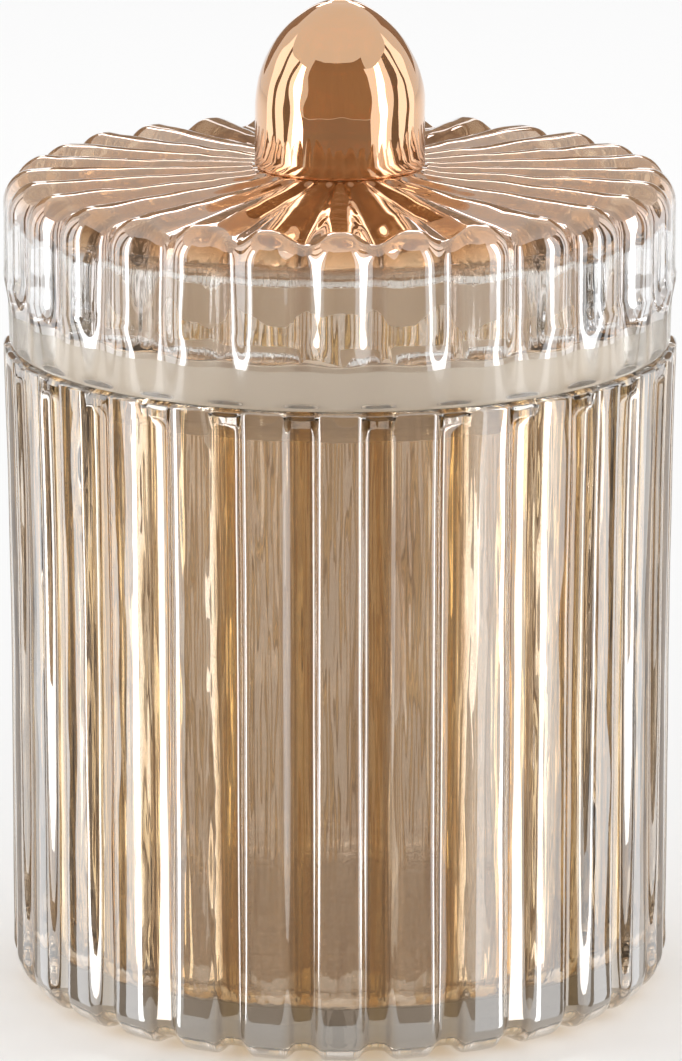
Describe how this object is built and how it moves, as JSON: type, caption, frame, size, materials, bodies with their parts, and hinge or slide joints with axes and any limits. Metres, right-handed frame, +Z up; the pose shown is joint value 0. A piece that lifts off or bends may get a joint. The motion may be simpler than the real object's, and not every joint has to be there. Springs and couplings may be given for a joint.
{
  "type": "apothecary jar",
  "caption": "Round fluted glass jar with a fluted lift-off glass lid, a bullet-shaped knob and a seal ring, for holding small dry goods.",
  "frame": {"origin": "centre of the jar's foot, on the plane it stands on", "axes": "+Z up along the jar's axis; -Y faces the viewer, with a lobe crest in the middle of the front"},
  "size_m": [0.101, 0.101, 0.15],
  "materials": {
    "jar_glass": "pressed lustre glass, amber-brown, smooth",
    "lid_glass": "pressed lustre glass, pale amber and grey, smooth",
    "knob_glass": "mirror-like copper lustre over glass",
    "seal": "milky translucent silicone, satin"
  },
  "bodies": {
    "jar": {"jar_body": "jar_glass"},
    "seal": {"seal_ring": "seal"},
    "lid": {"lid_cap": "lid_glass", "lid_knob": "knob_glass"}
  },
  "joints": [
    {"name": "lid_lift", "type": "slide", "parent": "jar", "child": "seal", "axis": [0, 0, 1], "range_m": [0, 0.08]},
    {"name": "lid_turn", "type": "hinge", "parent": "seal", "child": "lid", "pos_m": [0, 0, 0.0985], "axis": [0, 0, 1], "continuous": true}
  ]
}
